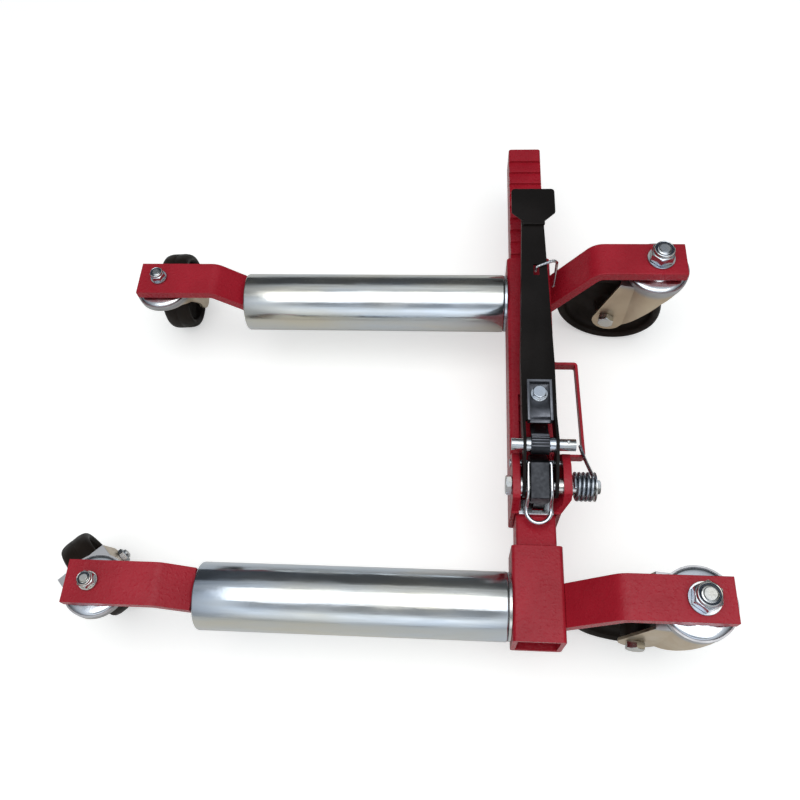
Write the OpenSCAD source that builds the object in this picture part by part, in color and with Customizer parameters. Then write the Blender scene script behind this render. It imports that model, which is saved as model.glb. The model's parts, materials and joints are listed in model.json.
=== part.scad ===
// Ratcheting wheel dolly that closes two rollers under a vehicle's tyre.
// Design frame: X runs along the rollers from their outer end, Y rearward from
// the front roller's axis, Z up from the floor. The last lines move the whole
// to the middle of its own footprint.

/* [Rollers] */
// Length of each lifting roller
roller_length = 305; // [260:5:380]
// Outside diameter of each roller
roller_d = 67; // [60:1:70]
// Wall of the roller tube
roller_wall = 3; // [2:0.5:5]
// Height of the roller axes above the floor
roller_axis_z = 86; // [80:1:92]
// Distance between the roller axes with the dolly closed
roller_spacing = 356; // [340:1:376]
// Diameter of the fixed axle inside each roller
axle_d = 28; // [24:1:32]
// Length of each roller bush
bush_length = 18; // [12:1:30]

/* [Telescoping beam] */
// Outside width of the outer square tube and of the front socket
tube_w = 50; // [46:1:60]
// Wall of the outer tube
tube_wall = 4.5; // [3:0.5:6]
// Gap on each side between the ratchet bar and the outer tube
slide_clearance = 0.5; // [0.3:0.1:1]
// Wall of the ratchet bar
bar_wall = 6; // [5:0.5:8]
// Gap between roller end and beam that holds the collar
collar_gap = 3.5; // [3:0.5:8]
// Front end of the outer tube
tube_front_y = 88; // [84:1:90]
// Rear end of the outer tube
tube_rear_y = 404; // [396:1:440]
// Rear end of the ratchet bar
bar_rear_y = 582.5; // [560:0.5:640]
// Front end of the ratchet bar inside the socket
bar_front_y = -12; // [-25:1:0]
// Front end of the socket
socket_front_y = -37; // [-60:1:-30]
// Rear end of the socket
socket_rear_y = 55; // [40:1:60]

/* [Ratchet] */
// Distance from tooth to tooth
tooth_pitch = 18.5; // [14:0.5:22]
// Depth of the teeth
tooth_depth = 3.5; // [2.5:0.1:4]
// Face of the tooth that the holding pawl blocks
held_tooth_y = 100.3; // [99:0.1:102]
// Number of teeth on the bar
tooth_count = 26; // [20:1:26]
// Teeth between the holding pawl and the drive pawl
drive_tooth_step = 6; // [6:1:6]
// Gap between a pawl and the face of its tooth
pawl_clearance = 0.3; // [0.2:0.1:0.5]
// Gap between a lifted pawl and the tips of the teeth that pass under it
ride_gap = 0.3; // [0.2:0.1:0.5]

/* [Arms and casters] */
// Width of the flat bars that carry the casters
arm_w = 42; // [36:1:46]
// Thickness of the arms beside the beam
inner_arm_t = 12; // [10:1:14]
// Thickness of the arms at the outer ends of the rollers
outer_arm_t = 10; // [8:1:12]
// Gap between a big wheel and the fork above it
big_fork_gap = 2.2; // [2:0.2:6]
// Gap between a small wheel and the fork above it
small_fork_gap = 9.8; // [8:0.2:12]
// Diameter of the wheels beside the beam
big_wheel_d = 123; // [118:1:124]
// Diameter of the wheels at the outer roller ends
small_wheel_d = 94; // [88:1:100]
// Width of every wheel
wheel_w = 32; // [26:1:36]
// Trail of the big wheels behind their kingpins
big_trail = 42; // [38:1:46]
// Trail of the small wheels behind their kingpins
small_trail = 39; // [36:1:42]
// Diameter of the kingpins beside the beam
big_pin_d = 16; // [14:1:18]
// Diameter of the kingpins at the outer roller ends
small_pin_d = 10; // [10:1:12]

/* [Foot pedal] */
// Diameter of the pedal's pivot bolt
pivot_d = 12; // [10:0.5:12]
// Thickness of the pedal's pressed sheet
pedal_t = 3; // [2:0.5:4]
// Width of the pedal at its base
pedal_base_w = 35; // [34:1:35]
// Width of the pedal at the neck of the foot pad
pedal_neck_w = 25; // [20:1:28]
// Width of the foot pad
pad_w = 50; // [40:1:70]
// Rear edge of the foot pad
pad_rear_y = 472.5; // [450:0.5:520]
// Thickness of the two lugs that carry the pedal
ear_t = 8; // [6:0.5:8]

/* [Return spring] */
// Diameter of the spring wire
spring_wire_d = 3.6; // [3:0.1:3.7]
// Distance from coil to coil
spring_pitch = 4.2; // [4.1:0.1:4.6]
// Mean diameter of the coils
spring_mean_d = 25.6; // [24:0.2:28]

/* [Hidden] */
$fn = 48;

paint_red = [0.62, 0.07, 0.12];
zinc = [0.78, 0.80, 0.82];
pressed_black = [0.08, 0.08, 0.09];
wheel_black = [0.10, 0.09, 0.09];

// Fits: a shaft that turns, a piece pressed in place, a gap between moving faces
running_fit = 0.08;
press_gap = 0.02;
face_gap = 0.1;

// Beam sections and heights
beam_x = roller_length + collar_gap + tube_w / 2;
beam_left = beam_x - tube_w / 2;
beam_right = beam_x + tube_w / 2;
beam_top = roller_axis_z + tube_w / 2;
bar_w = tube_w - 2 * tube_wall - 2 * slide_clearance;
bar_top = roller_axis_z + bar_w / 2;
tube_corner = 4;
bar_corner = 3;
window_w = 30;
plate_w = 34.5;
plate_front_y = tube_front_y - 1.5;
plate_rear_y = 102;

// Pedal mechanism: the pivot, the cross pin on the pedal, the pin of the holding pawl
pivot_y = 109.6;
pivot_z = beam_top + 19;
cross_y = 145.2;
cross_z = beam_top + 39;
cross_d = 12;
hold_y = 138;
hold_z = beam_top + 8;
hold_d = 8;
pedal_x = beam_x + 2.5;
pawl_x = beam_x + 1.75;
pedal_top = beam_top + 39;
cheek_left = pedal_x - pedal_base_w / 2;
cheek_right = pedal_x + pedal_base_w / 2;
ear_top = beam_top + 29;
ear_rear_y = 150;
right_ear_step = 8;
drive_tooth_y = held_tooth_y + drive_tooth_step * tooth_pitch;
window_rear_y = drive_tooth_y + 10.7;
drive_tip_y = drive_tooth_y - pawl_clearance;
tooth_root_z = bar_top - tooth_depth;
tooth_land = 1;
tooth_ramp = tooth_depth / (tooth_pitch - tooth_land);
neck_y = 426;
taper_y = 240;

// Caster stations: kingpin X and Y, underside of the arm, heading of the trail, then the
// radius of the race, the kingpin, the trail, the wheel's diameter and the arm's thickness
outer_pin_x = -100;
inner_pin_x = beam_right + 116.3;
outer_arm_end = outer_pin_x - 24;
inner_arm_end = inner_pin_x + 28.5;
big_race_r = 33;
small_race_r = 30;
// Depth of the swivel head under the arm
head_drop = 14.5;
inner_arm_z = big_wheel_d + big_fork_gap + head_drop + inner_arm_t;
outer_arm_z = small_wheel_d + small_fork_gap + head_drop + outer_arm_t;
small_caster = [small_race_r, small_pin_d, small_trail, small_wheel_d, outer_arm_t];
big_caster = [big_race_r, big_pin_d, big_trail, big_wheel_d, inner_arm_t];
outer_under = outer_arm_z - outer_arm_t;
inner_under = inner_arm_z - inner_arm_t;
rear_left = concat([outer_pin_x, roller_spacing + 3.8, outer_under, 93.5], small_caster);
rear_right = concat([inner_pin_x, roller_spacing + 16.3, inner_under, 169.4], big_caster);
front_left = concat([outer_pin_x, 0.2, outer_under, 134.6], small_caster);
front_right = concat([inner_pin_x, -1.7, inner_under, 174.7], big_caster);
function race_r(station) = station[4];
function pin_d(station) = station[5];
function trail(station) = station[6];
function wheel_d(station) = station[7];
function arm_t(station) = station[8];
// Swivel head, measured down from the underside of the arm
race_drop = 4.5;
race_sheet = 1.8;
crown_t = 3;
ball_d = 5;
// Half the width between the fork legs
leg_gap = wheel_w / 2 + 7.5;
leg_t = 3;
leg_end_r = 17.5;
hub_half = leg_gap - 0.7;
sleeve_d = 15;
axle_bolt_d = 10;

// Middle of the footprint, from the outermost wheel, kingpin race and beam ends
left_reach = outer_pin_x + (small_trail + small_wheel_d / 2) * cos(front_left[3])
    - wheel_w / 2 * sin(front_left[3]);
right_reach = inner_pin_x + big_race_r * 1.06;
middle = [(left_reach + right_reach) / 2, (socket_front_y + bar_rear_y) / 2, 0];

// Points of a fillet of radius r at corner b of the path a, b, c
function fillet(a, b, c, r, steps = 6) =
    let (u = (a - b) / norm(a - b), v = (c - b) / norm(c - b), half = acos(u * v) / 2,
        m = b + (u + v) / norm(u + v) * r / sin(half),
        p = b + u * r / tan(half) - m, q = b + v * r / tan(half) - m,
        s = atan2(p.y, p.x), raw = atan2(q.y, q.x) - s,
        turn = raw > 180 ? raw - 360 : raw < -180 ? raw + 360 : raw)
    [for (i = [0 : steps]) m + r * [cos(s + turn * i / steps), sin(s + turn * i / steps)]];

// Points of an arc about c, from one angle to another
function arc(c, r, from, to, steps) = [for (i = [0 : steps])
    let (a = from + (to - from) * i / steps) c + r * [cos(a), sin(a)]];

// Unit tangents of a path, and cross directions carried along it without twist
function unit(v) = v / norm(v);
function tangents(path) = [for (i = [0 : len(path) - 1])
    unit(path[min(i + 1, len(path) - 1)] - path[max(i - 1, 0)])];
function carried(t, start, i = 0, done = []) = i == len(t) ? done
    : let (n = unit(start - (start * t[i]) * t[i])) carried(t, n, i + 1, concat(done, [n]));

// Round wire of radius r along a path of points
module wire(path, r, start = [0, 0, 1], sides = 6) {
    t = tangents(path);
    n = carried(t, start);
    rings = len(path);
    points = [for (i = [0 : rings - 1], k = [0 : sides - 1])
        path[i] + r * (cos(360 * k / sides) * n[i] + sin(360 * k / sides) * cross(t[i], n[i]))];
    walls = [for (i = [0 : rings - 2], k = [0 : sides - 1])
        let (a = i * sides + k, b = i * sides + (k + 1) % sides)
        each [[a, a + sides, b], [b, a + sides, b + sides]]];
    last = (rings - 1) * sides;
    caps = [for (k = [1 : sides - 2]) each [[0, k, k + 1], [last, last + k + 1, last + k]]];
    polyhedron(concat(points, []), concat(walls, caps));
}

// Square with four round corners
module round_square(w, r) {
    square([w, w - 2 * r], center = true);
    square([w - 2 * r, w], center = true);
    for (x = [-1, 1], y = [-1, 1])
        translate([x, y] * (w / 2 - r)) circle(r);
}

// Outline in Y and Z, drawn from x0 to x1
module side_plate(x0, x1) {
    translate([x0, 0, 0]) rotate([90, 0, 90]) linear_extrude(x1 - x0) children();
}

// Outline in X and Z, drawn over a width w about the plane y
module front_plate(y, w) {
    translate([0, y + w / 2, 0]) rotate([90, 0, 0]) linear_extrude(w) children();
}

// Round bar along X
module bar_x(x0, x1, y, z, d) {
    translate([x0, y, z]) rotate([0, 90, 0]) cylinder(h = x1 - x0, d = d);
}

// Six-sided head, nut or washer stock with the given width across its flats
module hex(flats, h) {
    cylinder(h = h, d = flats / cos(30), $fn = 6);
}

// Square tube along Y with the beam's centreline
module beam_tube(y0, y1, w, r, wall) {
    translate([beam_x, y1, roller_axis_z]) rotate([90, 0, 0]) linear_extrude(y1 - y0)
        difference() {
            round_square(w, r);
            round_square(w - 2 * wall, max(r - wall, 1));
        }
}

module outer_tube() {
    color(paint_red) difference() {
        beam_tube(tube_front_y, tube_rear_y, tube_w, tube_corner, tube_wall);
        // Window for the pawls, wider where the guide plate sits
        translate([beam_x - window_w / 2, tube_front_y - 1, beam_top - tube_wall - 1])
            cube([window_w, window_rear_y - tube_front_y + 1, tube_wall + 2]);
        translate([beam_x - plate_w / 2, tube_front_y - 1, beam_top - tube_wall - 1])
            cube([plate_w, plate_rear_y - tube_front_y + 1, tube_wall + 2]);
    }
}

// Outline of a lug above the tube: straight top, both ends sloped, the front by slope
module ear_outline(slope) {
    polygon([[tube_front_y, beam_top], [tube_front_y + slope - 2, ear_top - 3],
        [tube_front_y + slope + 2, ear_top], [pivot_y + 18.4, ear_top],
        [ear_rear_y - 7, ear_top - 7], [ear_rear_y, beam_top]]);
}

module left_ear() {
    color(paint_red) difference() {
        side_plate(beam_left, beam_left + ear_t) ear_outline(8);
        bar_x(beam_left - 1, beam_left + ear_t + 1, pivot_y, pivot_z, pivot_d + 2 * running_fit);
        bar_x(beam_left - 1, beam_left + ear_t + 1, hold_y, hold_z, hold_d + 2 * press_gap);
    }
}

// The right lug stands on the tube's edge and leans outward before it rises
module right_ear() {
    inside = beam_right - ear_t;
    outer_rise = 18;
    inner_rise = 12;
    color(paint_red) difference() {
        intersection() {
            side_plate(inside - 1, beam_right + right_ear_step + 1) ear_outline(13);
            front_plate((tube_front_y + ear_rear_y) / 2, ear_rear_y - tube_front_y + 2)
                polygon([[inside, beam_top], [beam_right, beam_top],
                    [beam_right + right_ear_step, beam_top + outer_rise],
                    [beam_right + right_ear_step, ear_top + 1],
                    [inside + right_ear_step, ear_top + 1],
                    [inside + right_ear_step, beam_top + inner_rise]]);
        }
        bar_x(inside, beam_right + right_ear_step + 1, pivot_y, pivot_z,
            pivot_d + 2 * running_fit);
        // Flat face for the spacer
        bar_x(inside, inside + right_ear_step, pivot_y, pivot_z, inner_spacer_d + 0.4);
        bar_x(inside, beam_right + right_ear_step + 1, hold_y, hold_z, hold_d + 2 * press_gap);
    }
}

// Plate in the front of the window whose notch steadies the holding pawl's tab
module guide_plate() {
    notch_w = 11;
    notch_front = plate_front_y + 4.5;
    color(zinc) difference() {
        translate([beam_x - plate_w / 2, plate_front_y, beam_top - tube_wall])
            cube([plate_w, plate_rear_y - plate_front_y, tube_wall]);
        translate([pawl_x - notch_w / 2, notch_front, beam_top - tube_wall - 1])
            cube([notch_w, plate_rear_y, tube_wall + 2]);
    }
}

bolt_head = 6.5;
inner_spacer_d = 16;
spring_left = beam_right + right_ear_step + 0.7 + spring_wire_d / 2;
spring_turns = 4.1;
sleeve_right = spring_left + spring_turns * spring_pitch + spring_wire_d / 2 + 0.3;

// Shouldered bolt through both lugs and the pedal
module pivot_bolt() {
    color(zinc) difference() {
        union() {
            translate([beam_left - bolt_head, pivot_y, pivot_z]) rotate([0, 90, 0])
                hex(18, bolt_head);
            bar_x(beam_left - bolt_head, sleeve_right, pivot_y, pivot_z, pivot_d);
        }
        bar_x(sleeve_right - 12, sleeve_right + 1, pivot_y, pivot_z, 6.8);
    }
}

// Washer and sleeves that centre the pedal and carry the spring
module pivot_spacers() {
    gaps = [[beam_left + ear_t, cheek_left - face_gap, 20],
        [cheek_right + face_gap, beam_right + right_ear_step - ear_t, inner_spacer_d],
        [beam_right + right_ear_step, sleeve_right, 18]];
    color(zinc) for (g = gaps) difference() {
        bar_x(g[0], g[1], pivot_y, pivot_z, g[2]);
        bar_x(g[0] - 1, g[1] + 1, pivot_y, pivot_z, pivot_d + 2 * press_gap);
    }
}

// Screw and washer in the end of the pivot bolt
module spring_end_screw() {
    washer_t = 1.6;
    color(zinc) {
        difference() {
            bar_x(sleeve_right, sleeve_right + washer_t, pivot_y, pivot_z, 29);
            bar_x(sleeve_right - 1, sleeve_right + 3, pivot_y, pivot_z, 6.8);
        }
        translate([sleeve_right + washer_t, pivot_y, pivot_z]) rotate([0, 90, 0])
            hex(13, 4.6);
        bar_x(sleeve_right - 10, sleeve_right + washer_t + 1, pivot_y, pivot_z,
            6.8 - 2 * press_gap);
    }
}

strap_t = 3;
strap_h = 12;
strap_out = 26.5;
strap_front_y = 153;
strap_rear_y = 263;
strap_top = beam_top - 1;

// One unbroken winding: a short tail, the coils, and the leg that lies on the strap
spring_r = spring_mean_d / 2;
leg_target = [strap_front_y + 6, strap_top + spring_wire_d / 2 + 0.3];
leg_reach = leg_target - [pivot_y, pivot_z];
leave_angle = atan2(leg_reach.y, leg_reach.x) + acos(spring_r / norm(leg_reach));
coil_steps = round(spring_turns * 8);
function coil_point(i) = let (a = leave_angle + 360 * spring_turns * (1 - i / coil_steps))
    [spring_left + spring_turns * spring_pitch * i / coil_steps,
        pivot_y + spring_r * cos(a), pivot_z + spring_r * sin(a)];
tail_way = unit([0, coil_point(0).y - coil_point(1).y, coil_point(0).z - coil_point(1).z]);
spring_path = concat(
    [for (k = [2 : -1 : 1]) coil_point(0) + tail_way * spring_wire_d * k],
    [for (i = [0 : coil_steps]) coil_point(i)],
    [[coil_point(coil_steps).x - 2.6, leg_target.x - 14, leg_target.y + 4.8],
        [coil_point(coil_steps).x - 5.2, leg_target.x, leg_target.y],
        [coil_point(coil_steps).x - 5.7, leg_target.x + spring_wire_d, leg_target.y]]);
// Least gap between wire and wire, on points at least half a coil apart
spring_gap = min([for (i = [0 : len(spring_path) - 5], j = [i + 4 : len(spring_path) - 1])
    norm(spring_path[i] - spring_path[j]) - spring_wire_d]);
echo(least_spring_gap = spring_gap);

module torsion_spring() {
    color(zinc) wire(spring_path, spring_wire_d / 2, [1, 0, 0]);
}

// Flat strip on edge, bent to a U and welded to the side of the outer tube
module spring_strap() {
    x0 = beam_right;
    x1 = beam_right + strap_out;
    color(paint_red) translate([0, 0, strap_top - strap_h]) linear_extrude(strap_h)
        difference() {
            polygon(concat([[x0, strap_front_y - strap_t]],
                fillet([x0, strap_front_y - strap_t], [x1 + 1, strap_front_y - strap_t],
                    [x1 - 1.5, strap_rear_y], 4),
                fillet([x1 + 1, strap_front_y - strap_t], [x1 - 1.5, strap_rear_y],
                    [x0, strap_rear_y], 4), [[x0, strap_rear_y]]));
            polygon(concat([[x0 - 1, strap_front_y]],
                fillet([x0, strap_front_y], [x1 + 1 - strap_t, strap_front_y],
                    [x1 - 1.5 - strap_t, strap_rear_y - strap_t], 1.5),
                fillet([x1 + 1 - strap_t, strap_front_y],
                    [x1 - 1.5 - strap_t, strap_rear_y - strap_t],
                    [x0, strap_rear_y - strap_t], 1.5), [[x0 - 1, strap_rear_y - strap_t]]));
        }
}

// Pin through both lugs that the holding pawl turns on
module pawl_pin() {
    color(zinc) {
        bar_x(beam_left - 1.5, beam_right + right_ear_step, hold_y, hold_z, hold_d);
    }
}

// Fixed axle, welded to the beam and to the outer arm
module axle(y) {
    color(zinc) bar_x(0, beam_left, y, roller_axis_z, axle_d);
}

module collar(y) {
    color(zinc) difference() {
        bar_x(roller_length + 0.3, beam_left, y, roller_axis_z, roller_d - 1);
        bar_x(roller_length - 1, beam_left + 1, y, roller_axis_z, axle_d + 2 * press_gap);
    }
}

module roller(y) {
    bore = roller_d - 2 * roller_wall;
    color(zinc) translate([0, y, roller_axis_z]) rotate([0, 90, 0])
        rotate_extrude($fn = 96) polygon([[bore / 2 + 0.5, 0], [roller_d / 2 - 0.8, 0],
            [roller_d / 2, 0.8], [roller_d / 2, roller_length - 0.8],
            [roller_d / 2 - 0.8, roller_length], [bore / 2 + 0.5, roller_length],
            [bore / 2, roller_length - 0.5], [bore / 2, 0.5]]);
}

tongue_length = 20;

// A flanged bush is pressed in near each end of a roller and turns on the axle
module roller_bushes(y) {
    bore = roller_d - 2 * roller_wall;
    color(pressed_black) for (x = [tongue_length + 6, roller_length - bush_length - 6])
        difference() {
            bar_x(x, x + bush_length, y, roller_axis_z, bore - 2 * press_gap);
            bar_x(x - 1, x + bush_length + 1, y, roller_axis_z, axle_d + 2 * running_fit);
        }
}

// Outline of a flat bar that is level for u from 0 to bend and then slopes down to root
module bent_outline(bend, root, top, low, t) {
    fall = atan2(top - low, root - bend);
    inside = bend - t * tan(fall / 2);
    polygon(concat([[0, top - t], [0, top]],
        fillet([0, top], [bend, top], [root, low], t + 10),
        [[root, low], [root, low - t / cos(fall)]],
        fillet([root, low - t / cos(fall)], [inside, top - t], [0, top - t], 10)));
}

// Height of each slope's top where it meets the roller or the beam
front_outer_root = beam_top + 0.8;
rear_outer_root = beam_top - 7;
front_inner_root = beam_top - 3;
rear_inner_root = beam_top - 21;

// Arm at the outer end of a roller; its tongue reaches in and is welded on the axle
module outer_arm(y, station, low) {
    bend = -33 - outer_arm_end;
    root = -1.5 - outer_arm_end;
    fall = (outer_arm_z - low) / (root - bend);
    color(paint_red) difference() {
        union() {
            front_plate(station.y, arm_w) translate([outer_arm_end, 0])
                bent_outline(bend, root, outer_arm_z, low, outer_arm_t);
            front_plate(y, 24) polygon([[-3, low + 0.75],
                [tongue_length, max(low - fall * (tongue_length + 1.5), roller_axis_z + 7)],
                [tongue_length, roller_axis_z], [0, roller_axis_z],
                [0, low - 10], [-3, low - 9]]);
        }
        bar_x(-4, tongue_length + 1, y, roller_axis_z, axle_d + 2 * press_gap);
        translate([station.x, station.y, 0]) cylinder(h = 200, d = pin_d(station) + 2 * press_gap);
    }
}

// Arm between the beam's side and the big caster
module inner_arm(station, low) {
    root = inner_arm_end - beam_right;
    color(paint_red) difference() {
        front_plate(station.y, arm_w) translate([inner_arm_end, 0]) mirror([1, 0])
            bent_outline(inner_arm_end - beam_right - 45, root, inner_arm_z, low, inner_arm_t);
        translate([station.x, station.y, 0]) cylinder(h = 200, d = pin_d(station) + 2 * press_gap);
    }
}

// Places a caster's piece at its kingpin, with the wheel trailing along the heading
module at(station, turn = true) {
    translate([station.x, station.y, station.z]) rotate([0, 0, turn ? station[3] : 0])
        children();
}

// Kingpin bolt: its head is inside the fork and its thread stands above the nut
module kingpin(station) {
    d = pin_d(station);
    head = 0.4 * d;
    stand = arm_t(station) + 3 + d;
    at(station) {
        translate([0, 0, -head_drop - head]) hex(1.5 * d, head);
        translate([0, 0, -head_drop]) cylinder(h = head_drop + stand, d = d);
    }
}

module kingpins(left, right) {
    color(zinc) {
        kingpin(left);
        kingpin(right);
    }
}

// Washer and locking nut with the raised collar that holds its nylon ring
module lock_nut(station) {
    d = pin_d(station);
    at(station) translate([0, 0, arm_t(station)]) difference() {
        union() {
            cylinder(h = 2.5, d = 1.9 * d);
            translate([0, 0, 2.5]) hex(1.5 * d, 0.72 * d);
            translate([0, 0, 2.5 + 0.72 * d]) cylinder(h = 0.25 * d, d1 = 1.42 * d, d2 = 1.26 * d);
        }
        translate([0, 0, -1]) cylinder(h = 2 * d + 4, d = d + 2 * press_gap);
    }
}

module kingpin_nuts(left, right) {
    color(zinc) {
        lock_nut(left);
        lock_nut(right);
    }
}

// Dished upper race that bears on the arm
module race(station) {
    r = race_r(station);
    bore_r = pin_d(station) / 2 + press_gap;
    color(zinc) at(station) rotate_extrude($fn = 72) polygon([[bore_r, 0],
        [0.55 * r, 0], [0.68 * r, -race_drop + 0.4], [0.86 * r, -race_drop],
        [r, -race_drop + 2], [r, -race_drop + 0.2], [0.87 * r, -race_drop - race_sheet],
        [0.64 * r, -race_drop - race_sheet + 0.3], [0.5 * r, -race_sheet],
        [bore_r, -race_sheet]]);
}

module ball_ring(station) {
    count = 18;
    track = 0.77 * race_r(station);
    at(station) for (k = [0 : count - 1])
        rotate([0, 0, 360 * k / count])
            translate([track, 0, -race_drop - race_sheet - ball_d / 2 - 0.05])
                sphere(d = ball_d, $fn = 20);
}

module swivel_balls(left, right) {
    color(zinc) {
        ball_ring(left);
        ball_ring(right);
    }
}

// Outline of a fork from the side: the crown, the straight rear edge, the round end about
// the axle and the skirt's slanting front edge
module fork_outline(station) {
    rim = 1.06 * race_r(station);
    low = wheel_d(station) / 2 - station.z;
    top = -head_drop + crown_t;
    end = [trail(station) - 2, low - 6];
    back = [1.05 * rim, top] - end;
    front = [0.13 * rim, 0.7 * low] - end;
    polygon(concat([[-rim, top], [1.05 * rim, top]],
        arc(end, leg_end_r, atan2(back.y, back.x) - acos(leg_end_r / norm(back)),
            atan2(front.y, front.x) + acos(leg_end_r / norm(front)) - 360, 24),
        [[0.13 * rim, 0.7 * low], [-0.32 * rim, 0.36 * low], [-0.69 * rim, top - 4],
            [-rim, top - 1.5]]));
}

// Pressed fork: a dished crown that holds the balls, a round skirt that goes over into two
// flat legs, and the axle hole through both
module fork(station) {
    r = race_r(station);
    rim = 1.06 * r;
    skirt = rim - 0.7;
    d = pin_d(station);
    reach = trail(station);
    axle_drop = wheel_d(station) / 2 - station.z;
    top = -head_drop + crown_t;
    outside = leg_gap + leg_t;
    fold = sqrt(skirt * skirt - outside * outside);
    color(zinc) at(station) difference() {
        union() {
            rotate_extrude($fn = 72) polygon([[d / 2 + running_fit, -head_drop],
                [0.95 * r, -head_drop], [rim, -head_drop + 4], [rim, -race_drop - 0.6],
                [rim - 1.8, -race_drop - 0.6], [0.97 * r, top + 2], [0.9 * r, top],
                [d / 2 + running_fit, top]]);
            translate([0, -outside, -head_drop]) cube([1.05 * rim, 2 * outside, crown_t]);
            intersection() {
                translate([0, rim + 1, 0]) rotate([90, 0, 0]) linear_extrude(2 * rim + 2)
                    fork_outline(station);
                union() {
                    translate([0, 0, axle_drop - 30]) difference() {
                        cylinder(h = 100, r = skirt, $fn = 72);
                        translate([0, 0, -1]) cylinder(h = 102, r = skirt - leg_t, $fn = 72);
                        translate([fold, -50, -1]) cube([100, 100, 102]);
                    }
                    for (side = [-outside, leg_gap])
                        translate([fold - 1.5, side, axle_drop - 30]) cube([100, leg_t, 100]);
                }
            }
        }
        translate([0, 0, -head_drop - 1]) cylinder(h = 20, d = d + 2 * running_fit);
        translate([reach, 60, axle_drop]) rotate([90, 0, 0])
            cylinder(h = 120, d = axle_bolt_d + 2 * press_gap);
    }
}

// Bolt and nut that clamp the legs on the hub sleeve
module axle_bolt(station) {
    outside = leg_gap + leg_t;
    color(zinc) at(station) translate([trail(station), 0, wheel_d(station) / 2 - station.z])
        rotate([-90, 0, 0]) {
            translate([0, 0, outside]) hex(17, 8);
            translate([0, 0, -outside - 11]) cylinder(h = 2 * outside + 11, d = axle_bolt_d);
            difference() {
                translate([0, 0, -outside - 8]) hex(17, 8);
                translate([0, 0, -outside - 9])
                    cylinder(h = 10, d = axle_bolt_d + 2 * press_gap);
            }
        }
}

module hub_sleeve(station) {
    color(zinc) at(station)
        translate([trail(station), leg_gap, wheel_d(station) / 2 - station.z])
            rotate([90, 0, 0]) difference() {
                cylinder(h = 2 * leg_gap, d = sleeve_d);
                translate([0, 0, -1])
                    cylinder(h = 2 * leg_gap + 2, d = axle_bolt_d + 2 * press_gap);
            }
}

// Moulded wheel: thick tread ring, thin web and a hub that turns on the sleeve
module wheel(station) {
    r = wheel_d(station) / 2;
    rim = r - 8;
    hub = 14;
    half = wheel_w / 2;
    bore_r = sleeve_d / 2 + running_fit;
    color(wheel_black) at(station) translate([trail(station), 0, r - station.z])
        rotate([90, 0, 0]) rotate_extrude($fn = 96) polygon([[bore_r, -hub_half],
            [hub, -hub_half], [hub + 1.5, -4], [rim - 2, -4], [rim, -half + 1],
            [r - 4, -half], [r - 1, -half + 3], [r, -half + 8], [r, half - 8],
            [r - 1, half - 3], [r - 4, half], [rim, half - 1], [rim - 2, 4],
            [hub + 1.5, 4], [hub, hub_half], [bore_r, hub_half]]);
}

// Saw-toothed bar: each face looks forward, so that a pawl can push or hold it rearward
module ratchet_bar() {
    color(paint_red) difference() {
        beam_tube(bar_front_y, bar_rear_y, bar_w, bar_corner, bar_wall);
        for (k = [0 : tooth_count - 1]) {
            face = held_tooth_y + k * tooth_pitch;
            side_plate(beam_x - bar_w / 2 - 1, beam_x + bar_w / 2 + 1)
                polygon([[face, bar_top + 1], [face, tooth_root_z],
                    [face - tooth_pitch + tooth_land, bar_top],
                    [face - tooth_pitch + tooth_land, bar_top + 1]]);
        }
    }
}

// Short square tube welded round the front of the ratchet bar
module front_socket() {
    color(paint_red) beam_tube(socket_front_y, socket_rear_y, tube_w, tube_corner,
        (tube_w - bar_w) / 2 - press_gap);
}

// Outline of a pedal cheek: round at the pivot and at the cross pin, then the deep channel
module cheek_outline() {
    pivot = [pivot_y, pivot_z];
    pin = [cross_y, cross_z];
    pivot_r = 12;
    pin_r = 10;
    along = atan2(pin.y - pivot.y, pin.x - pivot.x);
    lean = acos((pivot_r - pin_r) / norm(pin - pivot));
    polygon(concat(arc(pivot, pivot_r, along + lean, along - lean + 360, 16),
        [[cross_y + 1.5, cross_z - 11], [pivot_y + 66, pedal_top - 20],
            [neck_y, pedal_top - 12], [neck_y + 40, pedal_top - 11],
            [neck_y + 40, pedal_top], [pivot_y + 68, pedal_top]],
        arc(pin, pin_r, 72, along + lean, 6)));
}

// Half width of the tapering channel at a place along it
function pedal_half(y) = y < taper_y ? pedal_base_w / 2
    : pedal_base_w / 2 - (pedal_base_w - pedal_neck_w) / 2 * (y - taper_y) / (neck_y - taper_y);
slot_y = 362;
slot_l = 15;
slot_w = 6.5;

// Plan of the channel between two walls drawn in by inset
module channel_plan(inset, front, rear) {
    polygon([[pedal_x - pedal_half(front) + inset, front],
        [pedal_x - pedal_half(taper_y) + inset, max(front, taper_y)],
        [pedal_x - pedal_half(neck_y) + inset, neck_y], [pedal_x - pedal_half(neck_y) + inset, rear],
        [pedal_x + pedal_half(neck_y) - inset, rear], [pedal_x + pedal_half(neck_y) - inset, neck_y],
        [pedal_x + pedal_half(taper_y) - inset, max(front, taper_y)],
        [pedal_x + pedal_half(front) - inset, front]]);
}

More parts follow.
